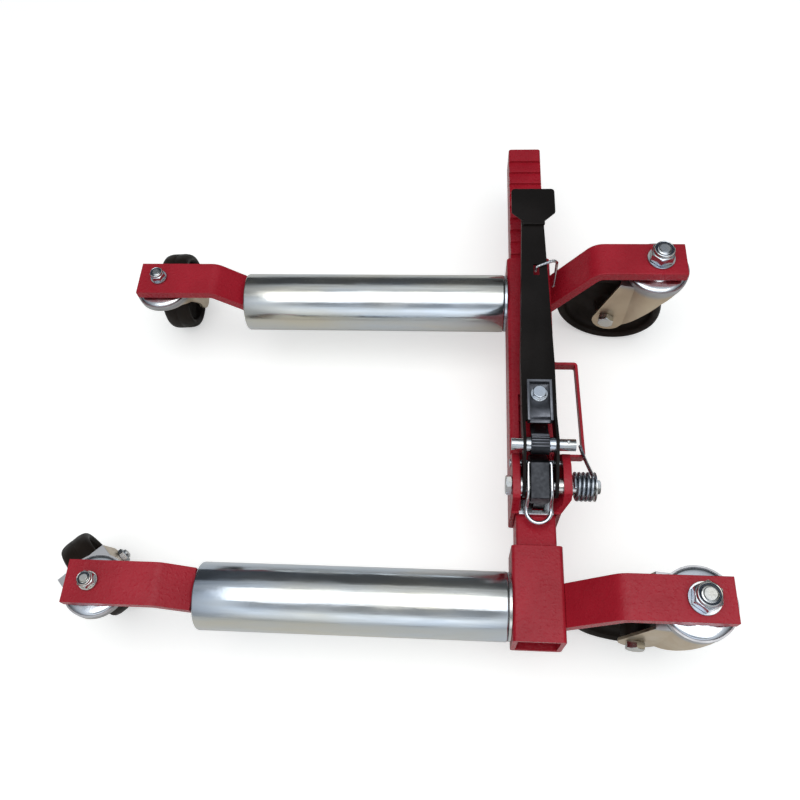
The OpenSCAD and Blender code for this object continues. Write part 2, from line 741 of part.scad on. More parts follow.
// Inverted channel pressed from one sheet, with its web cut away over the pawls
module pedal_arm() {
    web_front = 172;
    inside_w = pedal_base_w - 2 * pedal_t;
    color(pressed_black) difference() {
        intersection() {
            side_plate(cheek_left - 1, cheek_right + 1) cheek_outline();
            translate([0, 0, pivot_z - 20]) linear_extrude(80)
                channel_plan(0, pivot_y - 20, neck_y + 39);
        }
        // Inside of the channel, below the web
        translate([0, 0, pivot_z - 21]) linear_extrude(pedal_top - pedal_t - pivot_z + 21)
            channel_plan(pedal_t, web_front - 1, neck_y + 50);
        translate([cheek_left + pedal_t, pivot_y - 21, pivot_z - 21])
            cube([inside_w, web_front - pivot_y + 21, 90]);
        // Flat seat for the bracket between the cheeks' rising ends
        translate([cheek_left + pedal_t, web_front - 1, pedal_top]) cube([inside_w, 20, 20]);
        bar_x(cheek_left - 1, cheek_right + 1, pivot_y, pivot_z, pivot_d + 2 * running_fit);
        bar_x(cheek_left - 1, cheek_right + 1, cross_y, cross_z, cross_d + 2 * press_gap);
        translate([pedal_x, bracket_bolt_y, 0]) cylinder(h = 300, d = 8 + 2 * press_gap);
        translate([pedal_x - 1, slot_y - 11, pedal_top - 10]) cube([slot_w, slot_l, 20]);
    }
}

pad_t = 4;
pad_front_y = 420;

// Flat pad with cut front corners, welded on the end of the channel
module foot_pad() {
    rear = pad_rear_y;
    half = pad_w / 2;
    neck = pedal_neck_w / 2;
    color(pressed_black) translate([pedal_x + 1, 0, pedal_top]) linear_extrude(pad_t)
        polygon(concat([[neck, pad_front_y], [neck, neck_y], [half, neck_y + 12]],
            fillet([half, neck_y + 12], [half, rear], [-half, rear], 4),
            fillet([half, rear], [-half, rear], [-half, neck_y + 12], 4),
            [[-half, neck_y + 12], [-neck, neck_y], [-neck, pad_front_y]]));
}

bracket_bolt_y = 200;
bracket_w = 25;
bracket_rear_y = 214;
bracket_front_y = 168;
bracket_h = 9;

// Open channel bolted on the pedal's web; its front bends down behind the drive pawl
module pawl_bracket() {
    color(pressed_black) difference() {
        union() {
            translate([pedal_x - bracket_w / 2, bracket_front_y, pedal_top])
                cube([bracket_w, bracket_rear_y - bracket_front_y, bracket_h]);
        }
        difference() {
            translate([pedal_x - bracket_w / 2 + 2.5, bracket_front_y - 1, pedal_top + 2.5])
                cube([bracket_w - 5, bracket_rear_y - bracket_front_y - 1.5, bracket_h]);
            // Raised crosswise swage in the floor
            side_plate(pedal_x - bracket_w / 2, pedal_x + bracket_w / 2)
                polygon([[170, pedal_top], [173, pedal_top + 6], [184, pedal_top + 6],
                    [189, pedal_top + 2.5], [189, pedal_top]]);
        }
        translate([pedal_x, bracket_bolt_y, pedal_top - 1])
            cylinder(h = 20, d = 8 + 2 * press_gap);
    }
}

module bracket_bolt() {
    color(zinc) translate([pedal_x, bracket_bolt_y, 0]) {
        translate([0, 0, pedal_top + 2.5]) cylinder(h = 1.6, d = 17);
        translate([0, 0, pedal_top + 4.1]) hex(13, 5.3);
        translate([0, 0, pedal_top - 13]) cylinder(h = 18, d = 8);
        difference() {
            translate([0, 0, pedal_top - pedal_t - 7]) hex(13, 7);
            translate([0, 0, pedal_top - 20]) cylinder(h = 30, d = 8);
        }
    }
}

// Half the width of the drive pawl's boss, which is centred over the ratchet's pawls
strut_boss_half = 9;

// Pin through the pedal's cheeks with a split pin through its right end, and the rings
// beside the drive pawl
module cross_pin() {
    right = beam_right + 11.5;
    rings = [[cheek_left + pedal_t + face_gap, pawl_x - strut_boss_half - face_gap],
        [pawl_x + strut_boss_half + face_gap, cheek_right - pedal_t - face_gap]];
    color(zinc) {
        bar_x(beam_left - 1.2, right, cross_y, cross_z, cross_d);
        for (g = rings)
            bar_x(g[0], g[1], cross_y, cross_z, cross_d + 3);
        translate([right - 7.5, cross_y, cross_z - 10]) cylinder(h = 18.5, d = 2.4);
    }
}

// Strut that hangs on the cross pin and pushes a tooth rearward; at rest, with the pedal
// all the way down, it is clear of the teeth so that the bail alone can free the bar
module drive_pawl() {
    tip_low = bar_top + ride_gap;
    lean = atan2(cross_z - tip_low, drive_tip_y - cross_y);
    n = [sin(lean), cos(lean)];
    tip_t = 10 / cos(lean);
    color(pressed_black) difference() {
        union() {
            bar_x(pawl_x - strut_boss_half, pawl_x + strut_boss_half, cross_y, cross_z, 20);
            side_plate(pedal_x - 6, pedal_x + 6)
                polygon([[cross_y, cross_z] + 9.5 * n, [drive_tip_y, tip_low + tip_t],
                    [drive_tip_y, tip_low], [cross_y, cross_z] - 5 * n]);
        }
        bar_x(cheek_left, cheek_right, cross_y, cross_z, cross_d + 2 * running_fit);
    }
}

hold_w = 18.5;

// Catch that reaches over the pivot bolt and drops its tab in front of a tooth; at rest
// it rides over the teeth, and it drops by hold_drop degrees
hold_drop = 4.5;

module holding_pawl() {
    drop_shift = (hold_z - bar_top) * sin(hold_drop);
    nose_y = held_tooth_y - pawl_clearance - drop_shift - 6;
    tab_low = bar_top + ride_gap;
    color(pressed_black) difference() {
        union() {
            bar_x(pawl_x - hold_w / 2, pawl_x + hold_w / 2, hold_y, hold_z, 18);
            side_plate(pawl_x - hold_w / 2, pawl_x + hold_w / 2)
                polygon([[nose_y, beam_top + 13], [nose_y, beam_top + 28],
                    [hold_y - 10, beam_top + 34.3], [hold_y - 7.5, beam_top + 33.5],
                    [hold_y + 5, hold_z + 7.4], [hold_y - 7, hold_z - 5], [pivot_y + 11, beam_top + 28],
                    [pivot_y - 8, beam_top + 28], [pivot_y - 9.6, beam_top + 13]]);
            side_plate(pawl_x - 5, pawl_x + 5)
                polygon([[nose_y, beam_top + 14], [nose_y, tab_low + 6 * tooth_ramp],
                    [nose_y + 6, tab_low], [nose_y + 6, beam_top - 3],
                    [nose_y + 6.6, beam_top + 14]]);
        }
        bar_x(pawl_x - 11, pawl_x + 11, hold_y, hold_z, hold_d + 2 * running_fit);
    }
}

bail_wire_r = 1.9;
bail_half = 12.2;

// Bent wire whose loop lifts the holding pawl; its legs run inside the pedal's cheeks
module release_bail() {
    leg_half = hold_w / 2 + bail_wire_r + 0.2;
    leg = [[leg_half, pivot_y + 12, beam_top + 31.5], [leg_half, pivot_y, beam_top + 30],
        [leg_half, pivot_y - 9, beam_top + 28], [leg_half, pivot_y - 14, beam_top + 22],
        [bail_half - 0.3, pivot_y - 17.5, beam_top + 12.5],
        [bail_half, pivot_y - 21, beam_top + 7.5]];
    loop_y = pivot_y - 21.5;
    loop = [for (a = [15 : 15 : 165])
        [bail_half * cos(a), loop_y - bail_half * sin(a), beam_top + 7 - 2 * sin(a)]];
    other = [for (i = [len(leg) - 1 : -1 : 0]) [-leg[i].x, leg[i].y, leg[i].z]];
    foot = [hold_w / 2 + 0.05, hold_y - 9.6, beam_top + 32.2];
    color(zinc) translate([pawl_x, 0, 0])
        wire(concat([foot, [leg_half, foot.y, foot.z]], leg, loop, other,
            [[-leg_half, foot.y, foot.z], [-foot.x, foot.y, foot.z]]),
            bail_wire_r, [0, 0, 1], 8);
}

hook_wire_r = 1.6;
hook_z = pedal_top + hook_wire_r + 0.3;
hook_inner = [pedal_x + 2, slot_y - 1.5, hook_z];
hook_heading = 24.4;

// Long hook that swings in the pedal's slot and catches beside the rear arm
module latch_hook() {
    over = beam_right + 3.4 - hook_inner.x;
    along = [over / cos(hook_heading), 0, 0];
    down = hook_z - beam_top + 3;
    // Direction of the beam's front end as the hook sees it
    ahead = -[sin(hook_heading), cos(hook_heading), 0];
    color(zinc) translate(hook_inner) rotate([0, 0, hook_heading])
        wire(concat([[0, 0, -8], [0, 0, -3], [0.6, 0, -1], [2.4, 0, 0]],
            [for (a = [0 : 15 : 90]) along + [-6 + 6 * sin(a), 0, -6 + 6 * cos(a)]],
            [along + [0.2, 0, -down + 4] + 5 * ahead, along + [-0.4, 0, -down + 1.5] + 5.6 * ahead,
                along + [-1.4, 0, -down] + 6 * ahead]), hook_wire_r, [0, 1, 0], 8);
}

// Moves a finished piece to the middle of the footprint
module placed() {
    translate(-middle) children();
}

placed() outer_tube();
placed() left_ear();
placed() right_ear();
placed() guide_plate();
placed() pivot_bolt();
placed() pivot_spacers();
placed() torsion_spring();
placed() spring_end_screw();
placed() spring_strap();
placed() pawl_pin();
placed() axle(roller_spacing);  // rear_axle
placed() collar(roller_spacing);  // rear_collar
placed() outer_arm(roller_spacing, rear_left, rear_outer_root);  // rear_left_arm
placed() inner_arm(rear_right, rear_inner_root);  // rear_right_arm
placed() kingpins(rear_left, rear_right);  // rear_kingpins
placed() kingpin_nuts(rear_left, rear_right);  // rear_kingpin_nuts
placed() race(rear_left);  // rear_left_race
placed() race(rear_right);  // rear_right_race
placed() swivel_balls(rear_left, rear_right);  // rear_swivel_balls
placed() ratchet_bar();
placed() front_socket();
placed() axle(0);  // front_axle
placed() collar(0);  // front_collar
placed() outer_arm(0, front_left, front_outer_root);  // front_left_arm
placed() inner_arm(front_right, front_inner_root);  // front_right_arm
placed() kingpins(front_left, front_right);  // front_kingpins
placed() kingpin_nuts(front_left, front_right);  // front_kingpin_nuts
placed() race(front_left);  // front_left_race
placed() race(front_right);  // front_right_race
placed() swivel_balls(front_left, front_right);  // front_swivel_balls
placed() roller(roller_spacing);  // rear_roller
placed() roller_bushes(roller_spacing);  // rear_roller_bushes
placed() roller(0);  // front_roller
placed() roller_bushes(0);  // front_roller_bushes
placed() fork(rear_left);  // rear_left_fork
placed() fork(rear_right);  // rear_right_fork
placed() fork(front_left);  // front_left_fork
placed() fork(front_right);  // front_right_fork
placed() axle_bolt(rear_left);  // rear_left_axle_bolt
placed() axle_bolt(rear_right);  // rear_right_axle_bolt
placed() axle_bolt(front_left);  // front_left_axle_bolt
placed() axle_bolt(front_right);  // front_right_axle_bolt
placed() hub_sleeve(rear_left);  // rear_left_hub_sleeve
placed() hub_sleeve(rear_right);  // rear_right_hub_sleeve
placed() hub_sleeve(front_left);  // front_left_hub_sleeve
placed() hub_sleeve(front_right);  // front_right_hub_sleeve
placed() wheel(rear_left);  // rear_left_wheel
placed() wheel(rear_right);  // rear_right_wheel
placed() wheel(front_left);  // front_left_wheel
placed() wheel(front_right);  // front_right_wheel
placed() pedal_arm();
placed() foot_pad();
placed() pawl_bracket();
placed() bracket_bolt();
placed() cross_pin();
placed() drive_pawl();
placed() holding_pawl();
placed() release_bail();
placed() latch_hook();
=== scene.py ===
import json
import math
from collections import namedtuple

import bpy
import bmesh
from mathutils import Matrix, Vector

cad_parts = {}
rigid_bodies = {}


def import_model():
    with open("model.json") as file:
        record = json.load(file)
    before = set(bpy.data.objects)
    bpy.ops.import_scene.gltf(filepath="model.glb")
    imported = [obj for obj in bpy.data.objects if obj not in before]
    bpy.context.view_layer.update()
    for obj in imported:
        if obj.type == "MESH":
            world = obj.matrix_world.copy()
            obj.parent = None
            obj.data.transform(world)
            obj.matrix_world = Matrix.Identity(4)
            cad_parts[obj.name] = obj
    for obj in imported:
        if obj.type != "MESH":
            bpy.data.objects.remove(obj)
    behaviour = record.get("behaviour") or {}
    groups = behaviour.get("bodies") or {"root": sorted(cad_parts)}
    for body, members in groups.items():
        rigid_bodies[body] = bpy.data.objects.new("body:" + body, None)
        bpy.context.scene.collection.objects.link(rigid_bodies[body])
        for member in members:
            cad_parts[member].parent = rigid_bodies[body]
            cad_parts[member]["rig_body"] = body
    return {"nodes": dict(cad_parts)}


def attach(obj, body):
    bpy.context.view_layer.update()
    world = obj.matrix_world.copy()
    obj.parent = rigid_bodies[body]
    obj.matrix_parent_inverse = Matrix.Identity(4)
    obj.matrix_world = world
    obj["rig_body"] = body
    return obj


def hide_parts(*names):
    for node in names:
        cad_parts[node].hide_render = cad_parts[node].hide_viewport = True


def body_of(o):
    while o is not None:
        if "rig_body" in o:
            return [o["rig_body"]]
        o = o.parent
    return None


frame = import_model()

bpy.context.view_layer.update()
scene = bpy.context.scene


# The studio for a foot-operated wheel dolly: a camera above its front left, a pale floor, one
# large soft lamp overhead, and a room that is bright above and in front and darker behind and
# to both sides, so that the plated tubes show bands.
def set_camera():
    stand = Vector((0.08631, -0.44961, 0.86242))
    yaw, pitch, roll = -0.163637, 1.087476, -0.128287
    ahead = Vector((math.sin(yaw) * math.cos(pitch), math.cos(yaw) * math.cos(pitch),
                    -math.sin(pitch)))
    level = Vector((math.cos(yaw), -math.sin(yaw), 0))
    upright = level.cross(ahead)
    right = math.cos(roll) * level + math.sin(roll) * upright
    above = -math.sin(roll) * level + math.cos(roll) * upright
    lens = bpy.data.cameras.new("viewpoint")
    lens.sensor_width = 36
    lens.lens = 35.23
    lens.clip_start = 0.02
    camera = bpy.data.objects.new("viewpoint", lens)
    scene.collection.objects.link(camera)
    turn = Matrix((right, above, -ahead)).transposed().to_4x4()
    camera.matrix_world = Matrix.Translation(stand) @ turn
    scene.camera = camera


def pale_floor():
    reach, low = 6.0, -0.0003
    glow_to_camera = 0.45
    corners = [(-reach, -reach, low), (reach, -reach, low), (reach, reach, low),
               (-reach, reach, low)]
    sheet = bpy.data.meshes.new("studio_floor")
    sheet.from_pydata(corners, [], [(0, 1, 2, 3)])
    floor = bpy.data.objects.new("studio_floor", sheet)
    scene.collection.objects.link(floor)
    finish = bpy.data.materials.new("pale_floor")
    finish.use_nodes = True
    tree = finish.node_tree
    shader = tree.nodes["Principled BSDF"]
    shader.inputs["Base Color"].default_value = (0.80, 0.785, 0.745, 1)
    shader.inputs["Roughness"].default_value = 0.9
    shader.inputs["Specular IOR Level"].default_value = 0.1
    shader.inputs["Emission Color"].default_value = (1, 1, 1, 1)
    ray = tree.nodes.new("ShaderNodeLightPath")
    glow = tree.nodes.new("ShaderNodeMath")
    glow.operation = "MULTIPLY"
    glow.inputs[1].default_value = glow_to_camera
    tree.links.new(ray.outputs["Is Camera Ray"], glow.inputs[0])
    tree.links.new(glow.outputs[0], shader.inputs["Emission Strength"])
    sheet.materials.append(finish)


def light_room():
    bright_way = (0.05, -0.60, 0.80)
    wall_tint = (0.92, 0.99, 1.07)
    middle_level, side_level = 1.0, 0.05
    # Place from the dark end of the room to the bright one, and the wall's level there
    stops = [(0.0, 0.16), (0.35, 0.10), (0.52, 0.12), (0.57, 0.25), (0.61, 0.95), (0.655, 0.60),
             (0.70, 1.05), (0.80, 0.80), (0.88, 1.35), (0.935, 1.65), (0.965, 1.05),
             (0.982, 0.50), (1.0, 0.44)]
    room = bpy.data.worlds.new("studio_room")
    room.use_nodes = True
    scene.world = room
    tree = room.node_tree
    wall = tree.nodes["Background"]
    place = tree.nodes.new("ShaderNodeTexCoord")
    way = tree.nodes.new("ShaderNodeVectorMath")
    way.operation = "DOT_PRODUCT"
    way.inputs[1].default_value = bright_way
    tree.links.new(place.outputs["Generated"], way.inputs[0])
    shade = tree.nodes.new("ShaderNodeValToRGB")
    ramp = shade.color_ramp
    while len(ramp.elements) < len(stops):
        ramp.elements.new(0.5)
    for stop, (along, level) in zip(ramp.elements, stops):
        stop.position = along
        stop.color = (*(level * tint for tint in wall_tint), 1)
    half = tree.nodes.new("ShaderNodeMapRange")
    half.inputs["From Min"].default_value = -1
    tree.links.new(way.outputs["Value"], half.inputs["Value"])
    tree.links.new(half.outputs["Result"], shade.inputs["Fac"])
    tree.links.new(shade.outputs["Color"], wall.inputs["Color"])
    apart = tree.nodes.new("ShaderNodeSeparateXYZ")
    aside = tree.nodes.new("ShaderNodeMath")
    aside.operation = "ABSOLUTE"
    sides = tree.nodes.new("ShaderNodeMapRange")
    sides.inputs["To Min"].default_value = middle_level
    sides.inputs["To Max"].default_value = side_level
    tree.links.new(place.outputs["Generated"], apart.inputs[0])
    tree.links.new(apart.outputs["X"], aside.inputs[0])
    tree.links.new(aside.outputs[0], sides.inputs["Value"])
    tree.links.new(sides.outputs["Result"], wall.inputs["Strength"])
    backdrop = tree.nodes.new("ShaderNodeBackground")
    ray = tree.nodes.new("ShaderNodeLightPath")
    choose = tree.nodes.new("ShaderNodeMixShader")
    tree.links.new(ray.outputs["Is Camera Ray"], choose.inputs["Fac"])
    tree.links.new(wall.outputs["Background"], choose.inputs[1])
    tree.links.new(backdrop.outputs["Background"], choose.inputs[2])
    tree.links.new(choose.outputs["Shader"], tree.nodes["World Output"].inputs["Surface"])


def hang_lamp(name, spot, aim, wide, deep, watts):
    lamp = bpy.data.lights.new(name, "AREA")
    lamp.shape = "RECTANGLE"
    lamp.size = wide
    lamp.size_y = deep
    lamp.energy = watts
    holder = bpy.data.objects.new(name, lamp)
    scene.collection.objects.link(holder)
    holder.location = spot
    holder.rotation_euler = (Vector(aim) - Vector(spot)).to_track_quat("-Z", "Y").to_euler()


scene.view_settings.view_transform = "Standard"
set_camera()
pale_floor()
light_room()
hang_lamp("overhead_softbox", spot=(0.1, -0.42, 2.0), aim=(0.1, -0.42, 0), wide=2.3, deep=1.55,
          watts=18.5)


# The red steelwork: an outer square tube with the toothed bar in it, the front socket, both lugs
# and the spring's strap. Cut, drilled and welded mild steel under one coat of glossy red powder
# paint, whose orange peel softens every edge.
def new_finish(name):
    finish = bpy.data.materials.new(name)
    finish.use_nodes = True
    tree = finish.node_tree
    return finish, tree, tree.nodes["Principled BSDF"]


def grain(tree, scale, detail=2.0, stretch=(1, 1, 1)):
    place = tree.nodes.new("ShaderNodeTexCoord")
    fit = tree.nodes.new("ShaderNodeMapping")
    fit.inputs["Scale"].default_value = stretch
    noise = tree.nodes.new("ShaderNodeTexNoise")
    noise.inputs["Scale"].default_value = scale
    noise.inputs["Detail"].default_value = detail
    tree.links.new(place.outputs["Object"], fit.inputs["Vector"])
    tree.links.new(fit.outputs["Vector"], noise.inputs["Vector"])
    return noise.outputs[0]


def between(tree, amount, low, high, near=0.38, far=0.62):
    """Goes from low to high while the amount goes from near to far"""
    reach = tree.nodes.new("ShaderNodeMapRange")
    for socket, value in (("From Min", near), ("From Max", far), ("To Min", low),
                          ("To Max", high)):
        reach.inputs[socket].default_value = value
    tree.links.new(amount, reach.inputs["Value"])
    return reach.outputs["Result"]


def two_tone(tree, amount, first, second):
    mix = tree.nodes.new("ShaderNodeMix")
    mix.data_type = "RGBA"
    factor, first_colour, second_colour = mix.inputs[0], mix.inputs[6], mix.inputs[7]
    first_colour.default_value = (*first, 1)
    second_colour.default_value = (*second, 1)
    tree.links.new(amount, factor)
    return mix.outputs[2]


def raised(tree, shader, layers):
    """Fine relief from layers of (height, strength, depth in metres)"""
    last = None
    for height, strength, depth in layers:
        bump = tree.nodes.new("ShaderNodeBump")
        bump.inputs["Strength"].default_value = strength
        bump.inputs["Distance"].default_value = depth
        tree.links.new(height, bump.inputs["Height"])
        if last:
            tree.links.new(last, bump.inputs["Normal"])
        last = bump.outputs["Normal"]
    tree.links.new(last, shader.inputs["Normal"])


def powder_paint(name, deep, bright, gloss, peel, shine=0.22):
    peel_depth = 0.0004
    finish, tree, shader = new_finish(name)
    cloud = between(tree, grain(tree, 14, 4), 0, 1)
    tree.links.new(two_tone(tree, cloud, deep, bright), shader.inputs["Base Color"])
    rough = between(tree, grain(tree, 240, 3), gloss, gloss + 0.10)
    tree.links.new(rough, shader.inputs["Roughness"])
    shader.inputs["Specular IOR Level"].default_value = shine
    specks = between(tree, grain(tree, 300, 3), 0, 1, 0.55, 0.66)
    raised(tree, shader, [(grain(tree, 520, 2), peel, peel_depth),
                          (specks, peel * 0.8, peel_depth)])
    return finish


def dressed(node, finish, soft=0.7, turn=38):
    """The node's own shape with its triangles joined into whole faces and its edges broken"""
    source = frame["nodes"][node]
    work = bmesh.new()
    work.from_mesh(source.data)
    bmesh.ops.remove_doubles(work, verts=work.verts, dist=1e-6)
    bmesh.ops.dissolve_limit(work, angle_limit=math.radians(0.3), verts=work.verts,
                             edges=work.edges)
    shape = bpy.data.meshes.new(node + "_formed")
    work.to_mesh(shape)
    work.free()
    shape.shade_smooth()
    shape.set_sharp_from_angle(angle=math.radians(turn))
    shape.materials.clear()
    shape.materials.append(finish)
    piece = bpy.data.objects.new(node + "_formed", shape)
    scene.collection.objects.link(piece)
    if soft:
        edge = piece.modifiers.new("broken_edges", "BEVEL")
        edge.width = soft / 1000
        edge.segments = 2
        edge.limit_method = "ANGLE"
        edge.angle_limit = math.radians(turn)
        edge.harden_normals = True
    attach(piece, body_of(source)[0])
    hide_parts(node)
    return piece


red = powder_paint("red_powder_paint", (0.325, 0.010, 0.020), (0.400, 0.015, 0.028), 0.24, 0.42)
for node, soft in (("outer_tube", 0.5), ("left_ear", 1.0), ("right_ear", 1.0),
                   ("ratchet_bar", 0.35), ("front_socket", 0.5), ("spring_strap", 0.6)):
    dressed(node, red, soft)


# The weld beads that join lugs, strap, socket, arms and foot pad. Each is a run of small
# overlapping ripples, laid by hand and painted over, so it is a rod with rings along its path.
def ridged_rod_tree():
    tree = bpy.data.node_groups.new("ridged_rod", "GeometryNodeTree")
    face = tree.interface
    face.new_socket("Path", in_out="INPUT", socket_type="NodeSocketGeometry")
    for name, value in (("Radius", 0.002), ("Ridge depth", 0.0), ("Ridge pitch", 0.0015),
                        ("Twist", 1.0), ("Ridged length", 10.0), ("Step", 0.001),
                        ("End taper", 0.0005)):
        socket = face.new_socket(name, in_out="INPUT", socket_type="NodeSocketFloat")
        socket.default_value = value
    face.new_socket("Sides", in_out="INPUT", socket_type="NodeSocketInt").default_value = 16
    face.new_socket("Finish", in_out="INPUT", socket_type="NodeSocketMaterial")
    face.new_socket("Rod", in_out="OUTPUT", socket_type="NodeSocketGeometry")
    given = tree.nodes.new("NodeGroupInput")
    made = tree.nodes.new("NodeGroupOutput")

    def node(kind, **settings):
        new = tree.nodes.new(kind)
        for key, value in settings.items():
            setattr(new, key, value)
        return new

    def worked_out(kind, *amounts):
        new = node("ShaderNodeMath", operation=kind)
        for socket, value in zip(new.inputs, amounts):
            if isinstance(value, (int, float)):
                socket.default_value = value
            else:
                tree.links.new(value, socket)
        return new.outputs[0]

    # The path as a smooth line with even steps, drawn in at both ends
    end_size = 0.7
    line = node("GeometryNodeMeshToCurve")
    tree.links.new(given.outputs["Path"], line.inputs[0])
    flow = node("GeometryNodeCurveSplineType", spline_type="CATMULL_ROM")
    tree.links.new(line.outputs[0], flow.inputs["Curve"])
    fine = node("GeometryNodeSetSplineResolution")
    fine.inputs["Resolution"].default_value = 12
    tree.links.new(flow.outputs[0], fine.inputs[0])
    even = node("GeometryNodeResampleCurve", mode="LENGTH")
    tree.links.new(fine.outputs[0], even.inputs["Curve"])
    tree.links.new(given.outputs["Step"], even.inputs["Length"])
    along = node("GeometryNodeSplineParameter")
    whole = node("GeometryNodeSplineLength")
    left = worked_out("SUBTRACT", whole.outputs["Length"], along.outputs["Length"])
    near_end = worked_out("MINIMUM", along.outputs["Length"], left)
    eased = worked_out("MINIMUM", worked_out("DIVIDE", near_end, given.outputs["End taper"]), 1.0)
    size = worked_out("ADD", worked_out("MULTIPLY", eased, 1 - end_size), end_size)
    thick = node("GeometryNodeSetCurveRadius")
    tree.links.new(even.outputs[0], thick.inputs["Curve"])
    tree.links.new(size, thick.inputs["Radius"])

    # The skin round it, which remembers how far along and how far round each point is
    keep_way = node("GeometryNodeCaptureAttribute")
    keep_way.capture_items.new("FLOAT", "way")
    tree.links.new(thick.outputs[0], keep_way.inputs["Geometry"])
    tree.links.new(along.outputs["Length"], keep_way.inputs["way"])
    ring = node("GeometryNodeCurvePrimitiveCircle")
    tree.links.new(given.outputs["Sides"], ring.inputs["Resolution"])
    tree.links.new(given.outputs["Radius"], ring.inputs["Radius"])
    keep_turn = node("GeometryNodeCaptureAttribute")
    keep_turn.capture_items.new("FLOAT", "turn")
    round_ring = node("GeometryNodeSplineParameter")
    tree.links.new(ring.outputs["Curve"], keep_turn.inputs["Geometry"])
    tree.links.new(round_ring.outputs["Factor"], keep_turn.inputs["turn"])
    skin = node("GeometryNodeCurveToMesh")
    skin.inputs["Fill Caps"].default_value = True
    tree.links.new(keep_way.outputs["Geometry"], skin.inputs["Curve"])
    tree.links.new(keep_turn.outputs["Geometry"], skin.inputs["Profile Curve"])
    tree.links.new(node("GeometryNodeInputRadius").outputs[0], skin.inputs["Scale"])

    # Ridges: rings where the twist is nought, a thread where it is one
    way, turn = keep_way.outputs["way"], keep_turn.outputs["turn"]
    phase = worked_out("ADD", worked_out("DIVIDE", way, given.outputs["Ridge pitch"]),
                       worked_out("MULTIPLY", turn, given.outputs["Twist"]))
    wave = worked_out("SINE", worked_out("MULTIPLY", phase, 2 * math.pi))
    inside = worked_out("LESS_THAN", way, given.outputs["Ridged length"])
    lift = worked_out("MULTIPLY", worked_out("MULTIPLY", wave, given.outputs["Ridge depth"]),
                      inside)
    push = node("ShaderNodeVectorMath", operation="SCALE")
    tree.links.new(node("GeometryNodeInputNormal").outputs[0], push.inputs[0])
    tree.links.new(lift, push.inputs["Scale"])
    move = node("GeometryNodeSetPosition")
    tree.links.new(skin.outputs[0], move.inputs["Geometry"])
    tree.links.new(push.outputs[0], move.inputs["Offset"])
    smooth = node("GeometryNodeSetShadeSmooth")
    tree.links.new(move.outputs[0], smooth.inputs[0])
    real = node("GeometryNodeRealizeInstances")
    tree.links.new(smooth.outputs[0], real.inputs[0])
    paint = node("GeometryNodeSetMaterial")
    tree.links.new(real.outputs[0], paint.inputs["Geometry"])
    tree.links.new(given.outputs["Finish"], paint.inputs["Material"])
    tree.links.new(paint.outputs[0], made.inputs[0])
    return tree


ridged_rod = ridged_rod_tree()
# Middle of the dolly's footprint, in the drawing's millimetres
middle_x, middle_y = 169.0, 272.75


def at(x, y, z):
    """A point given in millimetres from the front roller's outer end, as the drawing gives it"""
    return Vector(((x - middle_x) / 1000, (y - middle_y) / 1000, z / 1000))


def rod(name, paths, radius, finish, body, slot, replaced=(), depth=0, pitch=1.5, twist=1.0,
        ridged=9000, step=0.8, taper=0.5, sides=18):
    """Rods, wires or beads along paths of points, all in millimetres"""
    points, edges = [], []
    for path in paths:
        edges += [(len(points) + k, len(points) + k + 1) for k in range(len(path) - 1)]
        points += [at(*spot) for spot in path]
    wire = bpy.data.meshes.new(name)
    wire.from_pydata(points, edges, [])
    piece = bpy.data.objects.new(name, wire)
    scene.collection.objects.link(piece)
    shape = piece.modifiers.new("rod", "NODES")
    shape.node_group = ridged_rod
    values = {"Radius": radius / 1000, "Ridge depth": depth / 1000, "Ridge pitch": pitch / 1000,
              "Twist": twist, "Ridged length": ridged / 1000, "Step": step / 1000,
              "End taper": taper / 1000, "Sides": sides, "Finish": finish}
    for item in ridged_rod.interface.items_tree:
        if item.in_out == "INPUT" and item.name in values:
            shape[item.identifier] = values[item.name]
    graph = bpy.context.evaluated_depsgraph_get()
    skin = bpy.data.meshes.new_from_object(piece.evaluated_get(graph), depsgraph=graph)
    piece.modifiers.remove(shape)
    piece.data = skin
    skin.name = name
    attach(piece, body)
    if replaced:
        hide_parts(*replaced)
    return piece


bead = {"depth": 0.28, "pitch": 2.1, "twist": 0.0, "step": 0.35, "taper": 3.0, "sides": 14}
rod("lug_welds", [
    [(309.6, 88.4, 111.4), (313, 88.2, 111.6), (316.2, 88.6, 111.4)],
    [(316.8, 90, 111.3), (316.8, 120, 111.3), (316.8, 148, 111.3)],
    [(309.6, 150.4, 111.3), (313, 150.6, 111.4), (316.2, 150.3, 111.3)],
    [(350.9, 88.6, 111.4), (354.5, 88.2, 111.6), (357.6, 88.4, 111.4)],
    [(350.3, 103, 111.3), (350.3, 120, 111.3), (350.3, 148, 111.3)],
    [(351, 150.4, 111.3), (354, 150.6, 111.4), (357.6, 150.4, 111.3)]],
    1.7, red, "rear_frame", "red_paint", **bead)
rod("strap_welds", [
    [(359.1, 149.8, 99), (359.1, 149.7, 104), (359.1, 149.8, 109)],
    [(359.1, 263.2, 99), (359.1, 263.3, 104), (359.1, 263.2, 109)]],
    1.3, red, "rear_frame", "red_paint", **bead)
rod("socket_weld", [[(315.5, 55.5, 106.1), (333.5, 55.6, 106.2), (351.5, 55.5, 106.1)]],
    1.0, red, "front_frame", "red_paint", **bead)


# The four arms: flat mild steel bar, bent on a press and welded to the beam's side or to the
# roller's axle, then painted with the rest. Their tops are the largest red faces, and bending
# rounds their upper edge.
for node in ("rear_left_arm", "rear_right_arm", "front_left_arm", "front_right_arm"):
    dressed(node, red, 1.1, 30)
rod("rear_arm_weld", [[(359.2, 353, 77.6), (359.2, 372, 77.5), (359.2, 391, 77.6)]],
    1.6, red, "rear_frame", "red_paint", **bead)
rod("front_arm_weld", [[(359.2, -21, 95.0), (359.2, -2, 94.9), (359.2, 17, 95.0)]],
    1.6, red, "front_frame", "red_paint", **bead)


